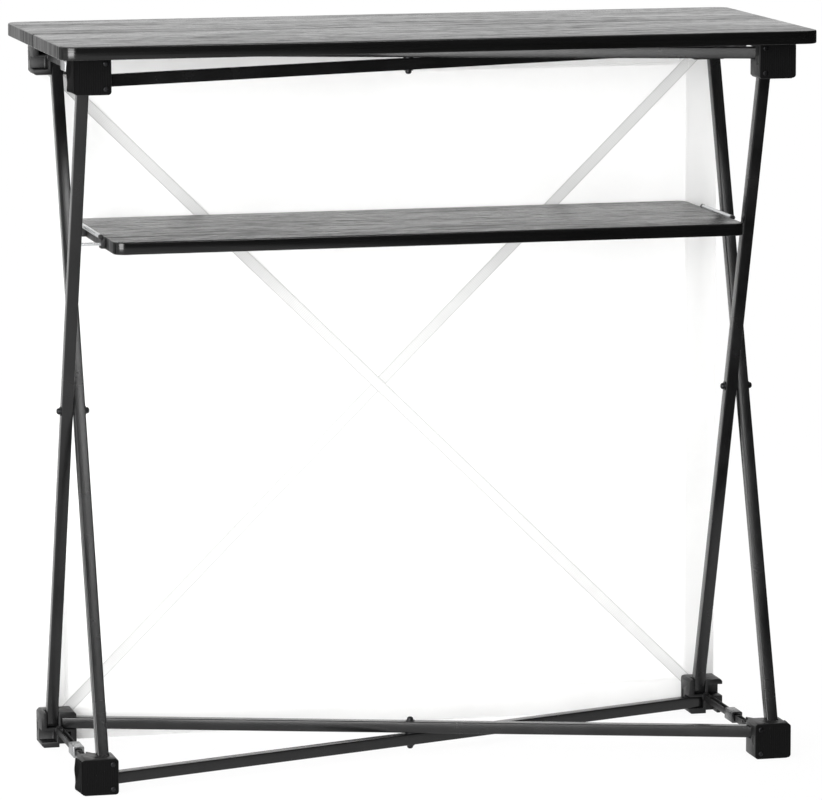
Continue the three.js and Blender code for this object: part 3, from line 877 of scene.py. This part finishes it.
def makeCap(side, railX):
    reach, z = railLook["half"], railLook["z"]
    start, end = side * (reach - railLook["capLap"]), side * (reach + railLook["capLong"])
    radius = railLook["radius"] + railLook["capProud"]
    cap = startRound("railCap", radius, (railX, start, z), (railX, end, z))
    roundEdges(cap, lambda a, b: liesAt(a, b, "y", end), railLook["capEase"], segments=3)
    shadeSoft(cap)
    return cap


for end, outward in endSides.items():
    railX = outward * (shelfEnd + railLook["out"])
    placePiece(makeRail(end, railX), "shelf", "bright", brightMetal, f"shelf_rail_{end}")
    for face, side in faceSides.items():
        clip = makeClip(f"railClip_{end}_{face}", outward, side, railX)
        joinTo(clip, makeCap(side, railX))
        placePiece(clip, "shelf", "moulded", bracketGrey, f"shelf_bracket_{end}_{face}")
print("rails and clips placed")

for node, solid in nodes.items():
    if node.startswith("hinge_"):
        solid.data.materials.clear()
        solid.data.materials.append(zincSteel)
print("hinges plated")


# cloth cover: stretched panel, folded hem, sewn webbing straps
coverLook = {"half": 0.5, "low": 0.001, "high": 0.985, "y": 0.1866, "thick": 0.0006, "bow": 0.0028,
             "hem": 0.046, "hemGap": 0.0008, "cuts": (90, 90), "hemCuts": (90, 6), "sideCuts": (6, 80),
             "smooth": 60, "keep": 0.06}
creaseLook = {"height": 0.0009, "rays": 26, "fade": 7, "start": 9, "edgeStart": 18,
              "swell": 0.0005, "swellAcross": 23, "swellUp": 1.3}
coverHalf, coverLow, coverHigh = (coverLook[key] for key in ("half", "low", "high"))
coverTall, centreZ = coverHigh - coverLow, (coverLow + coverHigh) / 2
hemWide, coverY = coverLook["hem"], coverLook["y"]
hemY = coverY - coverLook["hemGap"]


def clothLift(x, z):    # bowed in the middle, creased from the corners, flat at the edge
    u, v = (x + coverHalf) / (2 * coverHalf), (z - coverLow) / coverTall
    edge = min(u, 1 - u, v, 1 - v)
    pull = math.sin(math.pi * u) * math.sin(math.pi * v)
    crease = 0.0
    for cu, cv in ((0, 0), (1, 0), (0, 1), (1, 1)):
        du, dv = u - cu, v - cv
        away = math.hypot(du, dv)
        fan = math.sin(math.atan2(abs(dv), abs(du)) * creaseLook["rays"])
        crease += fan * math.exp(-away * creaseLook["fade"]) * min(1, away * creaseLook["start"])
    swell = math.sin(u * creaseLook["swellAcross"] + creaseLook["swellUp"] * v) * pull
    inside = max(0.0, min(1, edge * creaseLook["edgeStart"]))
    return coverLook["bow"] * pull + inside * (creaseLook["height"] * crease + creaseLook["swell"] * swell)


def followCloth(piece):
    for point in piece.data.vertices:
        point.co.y += clothLift(point.co.x, point.co.z)


def startSheet(name, width, height, place, cuts, turn=0.0):
    clearSelection()
    bpy.ops.mesh.primitive_grid_add(x_subdivisions=cuts[0], y_subdivisions=cuts[1], size=1, location=place)
    piece = bpy.context.active_object
    piece.scale = (width, height, 1)
    piece.rotation_euler = (math.pi / 2, -turn, 0)
    return settle(piece, name)


def drapeSheet(sheet, thick):
    followCloth(sheet)
    runModifier(sheet, "SOLIDIFY", thickness=thick, offset=0)


def sewPiece(name, parts, angle=coverLook["smooth"]):
    piece = joinTo(*parts)
    piece.name = name
    shadeSoft(piece, angle)
    return piece


panel = startSheet("coverCloth", 2 * coverHalf, coverTall, (0, coverY, centreZ), coverLook["cuts"])
drapeSheet(panel, coverLook["thick"])
shadeSoft(panel, coverLook["smooth"])
placePiece(panel, "cover", "cloth", wovenCloth, "cover_panel")

hemParts = []
for z in (coverLow + hemWide / 2, coverHigh - hemWide / 2):
    hemParts.append(startSheet("hemBand", 2 * coverHalf, hemWide, (0, hemY, z), coverLook["hemCuts"]))
for x in (-coverHalf + hemWide / 2, coverHalf - hemWide / 2):
    hemParts.append(startSheet("hemBand", hemWide, coverTall - 2 * hemWide, (x, hemY, centreZ),
                               coverLook["sideCuts"]))
for band in hemParts:
    drapeSheet(band, coverLook["thick"])
hemPiece = sewPiece("coverHem", hemParts)
placePiece(hemPiece, "cover", "cloth", hemClothLightened)

# straps from corner to corner, one over the other
strapLook = {"wide": 0.0155, "thick": 0.0007, "gap": 0.0003, "lap": 0.012, "ribs": 6,
             "ribDepth": 0.00018, "cuts": 120}
reachX, reachZ = coverHalf - hemWide + strapLook["lap"], coverTall / 2 - hemWide + strapLook["lap"]
strapLength, strapTurn = 2 * math.hypot(reachX, reachZ), math.atan2(reachZ, reachX)
strapParts = []
for layer, slope in enumerate((1, -1)):
    strapY = hemY - strapLook["gap"] - strapLook["thick"] * layer
    strap = startSheet("strapBand", strapLength, strapLook["wide"], (0, strapY, centreZ),
                       (strapLook["cuts"], 2 * strapLook["ribs"]), slope * strapTurn)
    acrossX, acrossZ = -slope * math.sin(strapTurn), math.cos(strapTurn)
    for point in strap.data.vertices:       # woven ribs along the webbing
        across = (point.co.x * acrossX + (point.co.z - centreZ) * acrossZ) / strapLook["wide"]
        point.co.y -= strapLook["ribDepth"] * math.cos(across * 2 * math.pi * strapLook["ribs"])
    drapeSheet(strap, strapLook["thick"])
    strapParts.append(strap)
straps = sewPiece("coverStraps", strapParts)
placePiece(straps, "cover", "webbing", ribbedWebbingShaded, "cover_straps")

# a row of stitches along the inner edge of each hem
stitchLook = {"pitch": 0.0045, "long": 0.0032, "start": 0.0006, "radius": 0.00035, "proud": 0.0005,
              "inset": 0.004, "endInset": 0.00015, "smooth": 70}
rowInset, stitchPitch = hemWide - stitchLook["inset"], stitchLook["pitch"]
leftX, rightX = -coverHalf + rowInset, coverHalf - rowInset
lowZ, highZ = coverLow + rowInset, coverHigh - rowInset
sideways, upward = Vector((1, 0, 0)), Vector((0, 0, 1))
levelRow, uprightRow = 2 * coverHalf - 2 * rowInset, coverTall - 2 * rowInset
rows = []
for x, z, along, span in ((leftX, lowZ, sideways, levelRow), (leftX, highZ, sideways, levelRow),
                          (leftX, lowZ, upward, uprightRow), (rightX, lowZ, upward, uprightRow)):
    start = Vector((x, hemY - stitchLook["proud"], z)) + stitchLook["start"] * along
    row = startRound("stitchRow", stitchLook["radius"], start, start + stitchLook["long"] * along, sides=8)
    pickFaces(row, lambda normal: abs(normal.dot(along)) > picking["facing"])
    bpy.ops.mesh.inset(thickness=stitchLook["endInset"])
    bpy.ops.object.mode_set(mode="OBJECT")
    arrayAlong(row, int(span / stitchPitch), stitchPitch * along)
    followCloth(row)
    rows.append(row)
stitching = sewPiece("hemStitching", rows, stitchLook["smooth"])
placePiece(stitching, "cover", "cloth", wovenCloth)

for piece in (panel, hemPiece, straps, stitching):
    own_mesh(piece)
print("cover sewn")


# stage, light and camera
stageLook = {"floor": 28.0, "white": 1.05, "shadowShare": 0.12, "ambient": 0.85}


def seenWhite(tree):    # 1 for rays that should see plain white
    path = addNode(tree, "ShaderNodeLightPath")
    total = path.outputs["Is Camera Ray"]
    for kind in ("Is Glossy Ray", "Is Transmission Ray"):
        most = addNode(tree, "ShaderNodeMath", operation="MAXIMUM")
        feed(most, 0, total)
        feed(most, 1, path.outputs[kind])
        total = most.outputs[0]
    return total


def plainGrey(level):
    return (level, level, level, 1)


def startPlane(name, size, place, turn=(0, 0, 0)):
    clearSelection()
    bpy.ops.mesh.primitive_plane_add(size=1, location=place, rotation=turn)
    plane = bpy.context.active_object
    plane.scale = (*size, 1)
    return settle(plane, name)


floor = startPlane("studioFloor", (stageLook["floor"], stageLook["floor"]), (0, 0, 0))
floorPaint = {"Base Color": plainGrey(0.72), "Roughness": 0.9}
floorFinish, floorTree, floorShader = newFinish("studioFloor", **floorPaint)
glow = addNode(floorTree, "ShaderNodeEmission", Strength=stageLook["white"])
share = addNode(floorTree, "ShaderNodeMath", operation="MULTIPLY")
feed(share, 0, seenWhite(floorTree))
share.inputs[1].default_value = 1 - stageLook["shadowShare"]
feed(blendShaders(floorTree, floorShader, glow), "Fac", share.outputs[0])
floor.data.materials.append(floorFinish)

# black cloths beside the set keep the front and right faces dark, as in the picture
flagCloth = {"Base Color": plainGrey(0.02), "Roughness": 1.0}
flags = {"floorFlag": {"size": (9.0, 10.2), "place": (4.9, -5.35, 0.002), "tilt": 0, "turn": 0,
                       "lit": False},
         "frontFlag": {"size": (12.0, 9.0), "place": (4.6, -10.5, 4.5), "tilt": 90, "turn": 0,
                       "lit": False},
         "sideFlag": {"size": (5.0, 3.2), "place": (2.1, -1.6, 1.6), "tilt": 90, "turn": -65,
                      "lit": True}}
flagFinish = newFinish("blackCloth", **flagCloth)[0]
for flagName, look in flags.items():
    flag = startPlane(flagName, look["size"], look["place"],
                      (math.radians(look["tilt"]), 0, math.radians(look["turn"])))
    flag.visible_camera = False
    flag.visible_shadow = False
    flag.visible_transmission = False
    flag.visible_diffuse = look["lit"]
    flag.data.materials.append(flagFinish)

world = bpy.data.worlds.new("studio")
world.use_nodes = True
bpy.context.scene.world = world
worldTree = world.node_tree
ambient = worldTree.nodes["Background"]
ambient.inputs["Color"].default_value = plainGrey(1)
ambient.inputs["Strength"].default_value = stageLook["ambient"]
backdrop = addNode(worldTree, "ShaderNodeBackground", Color=plainGrey(1), Strength=stageLook["white"])
worldMix = blendShaders(worldTree, ambient, backdrop, end="World Output")
feed(worldMix, "Fac", seenWhite(worldTree))

# glints: whether a lamp shows in shiny faces; power in watts
lamps = {"keyLamp": {"place": (-2.75, -3.5, 1.0), "target": (0, 0, 0.6), "size": (3.2, 1.9),
                     "power": 235, "glints": True},
         "upperLamp": {"place": (0.66, -4.1, 3.0), "target": (-0.47, 0.1, 0.8), "size": (0.8, 1.3),
                       "power": 40, "glints": True},
         "fillLamp": {"place": (-0.9, -5.4, 0.85), "target": (0, 0.2, 1.0), "size": (3.0, 1.2),
                      "power": 60, "glints": False},
         "backLamp": {"place": (0, 2.4, 0.88), "target": (0, 0.19, 0.86), "size": (1.0, 0.3),
                      "power": 26, "glints": False}}


def addLamp(name, place, target, size, power, glints):
    data = bpy.data.lights.new(name, "AREA")
    data.shape = "RECTANGLE"
    data.size, data.size_y = size
    data.energy = power
    lamp = bpy.data.objects.new(name, data)
    lamp.location = place
    lamp.rotation_mode = "QUATERNION"
    lamp.rotation_quaternion = (Vector(target) - Vector(place)).to_track_quat("-Z", "Y")
    lamp.visible_glossy = glints
    lamp.visible_camera = False
    bpy.context.scene.collection.objects.link(lamp)


for lampName, look in lamps.items():
    addLamp(lampName, **look)

# angles in degrees; focal length, centre and picture in pixels
cameraLook = {"yaw": 13.685, "pitch": 8.454, "roll": -0.142,
              "distance": 7.661, "target": (0.0068, 0, 0.4961),
              "focal": 5501, "centre": (413.97, 400.57), "picture": (822, 800),
              "sensor": 36, "farthest": 100}
yaw, pitch, roll = (math.radians(cameraLook[key]) for key in ("yaw", "pitch", "roll"))
aim = Vector((math.sin(yaw) * math.cos(pitch), math.cos(yaw) * math.cos(pitch), -math.sin(pitch)))
right = Vector((math.cos(yaw), -math.sin(yaw), 0))
up = right.cross(aim)
right, up = right * math.cos(roll) + up * math.sin(roll), up * math.cos(roll) - right * math.sin(roll)
cameraData = bpy.data.cameras.new("photoCamera")
cameraData.sensor_width = cameraLook["sensor"]
pictureWide, pictureTall = cameraLook["picture"]
centreX, centreY = cameraLook["centre"]
cameraData.lens = cameraLook["focal"] / pictureWide * cameraData.sensor_width
cameraData.shift_x = -(centreX - pictureWide / 2) / pictureWide
cameraData.shift_y = (centreY - pictureTall / 2) / pictureWide
cameraData.clip_end = cameraLook["farthest"]
camera = bpy.data.objects.new("photoCamera", cameraData)
camera.matrix_world = Matrix((right, up, -aim)).transposed().to_4x4()
camera.matrix_world.translation = Vector(cameraLook["target"]) - aim * cameraLook["distance"]
bpy.context.scene.collection.objects.link(camera)
bpy.context.scene.camera = camera
bpy.context.scene.view_settings.view_transform = "Standard"
print("stage, lamps and camera set")
